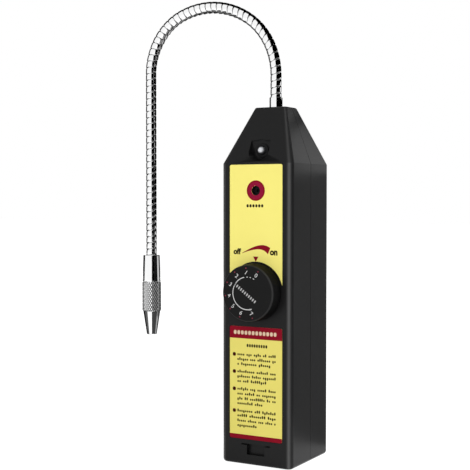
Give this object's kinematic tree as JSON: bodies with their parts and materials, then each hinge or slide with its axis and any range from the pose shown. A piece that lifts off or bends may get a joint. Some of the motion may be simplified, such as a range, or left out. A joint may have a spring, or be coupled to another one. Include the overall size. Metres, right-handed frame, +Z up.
{
  "type": "refrigerant leak detector",
  "caption": "Hand-held refrigerant leak detector: black tapered housing with a sensitivity knob, sloped lamp pocket, wound chromed gooseneck and knurled probe tip.",
  "frame": {"origin": "middle of the flat base, on the underside of the battery door", "axes": "+Z up the housing to the gooseneck, -Y out of the front with the knob and labels, -X towards the side where the probe tip hangs"},
  "size_m": [0.1281, 0.0654, 0.2987],
  "materials": {
    "housing_plastic": "fine matt texture",
    "knob_plastic": "satin",
    "label": "printed film",
    "chrome": "polished plating",
    "steel": "zinc plated",
    "brass": "plated spring brass",
    "cell_jacket": "printed jacket",
    "board": "lacquered laminate",
    "component": "moulded",
    "coil": "varnished",
    "lens": "clear moulded",
    "lead": "insulated wire",
    "insulator": "ceramic"
  },
  "bodies": {
    "housing": {"front_shell": "housing_plastic", "rear_shell": "housing_plastic", "housing_screws": "steel", "lower_cell": "cell_jacket", "upper_cell": "cell_jacket", "top_contact": "brass", "return_strip": "brass", "circuit_board": "board", "board_screws": "steel", "potentiometer": "steel", "pot_nut": "steel", "transformer": "coil", "control_chip": "component", "capacitors": "component", "buzzer": "component", "indicator_lamp": "lens", "lamp_ring": "knob_plastic", "upper_label": "label", "lower_label": "label", "neck_collar": "chrome", "neck_nut": "steel", "gooseneck": "chrome", "sensor_lead": "lead", "tip_sleeve": "chrome", "sensor_insulator": "insulator", "sensor_electrode": "brass"},
    "knob": {"sensitivity_knob": "knob_plastic", "pot_shaft": "steel"},
    "door": {"battery_door": "housing_plastic", "door_plate": "brass", "door_spring": "steel"},
    "tip": {"tip_cover": "chrome"}
  },
  "joints": [
    {"name": "knob_turn", "type": "hinge", "parent": "housing", "child": "knob", "pos_m": [0, -0.0278, 0.1096], "axis": [0, 1, 0], "range_deg": [-30, 193]},
    {"name": "door_pull", "type": "slide", "parent": "housing", "child": "door", "axis": [0, 0, -1], "range_m": [0, 0.03]},
    {"name": "cover_pull", "type": "slide", "parent": "housing", "child": "tip", "axis": [0, 0, -1], "range_m": [0, 0.03]}
  ]
}
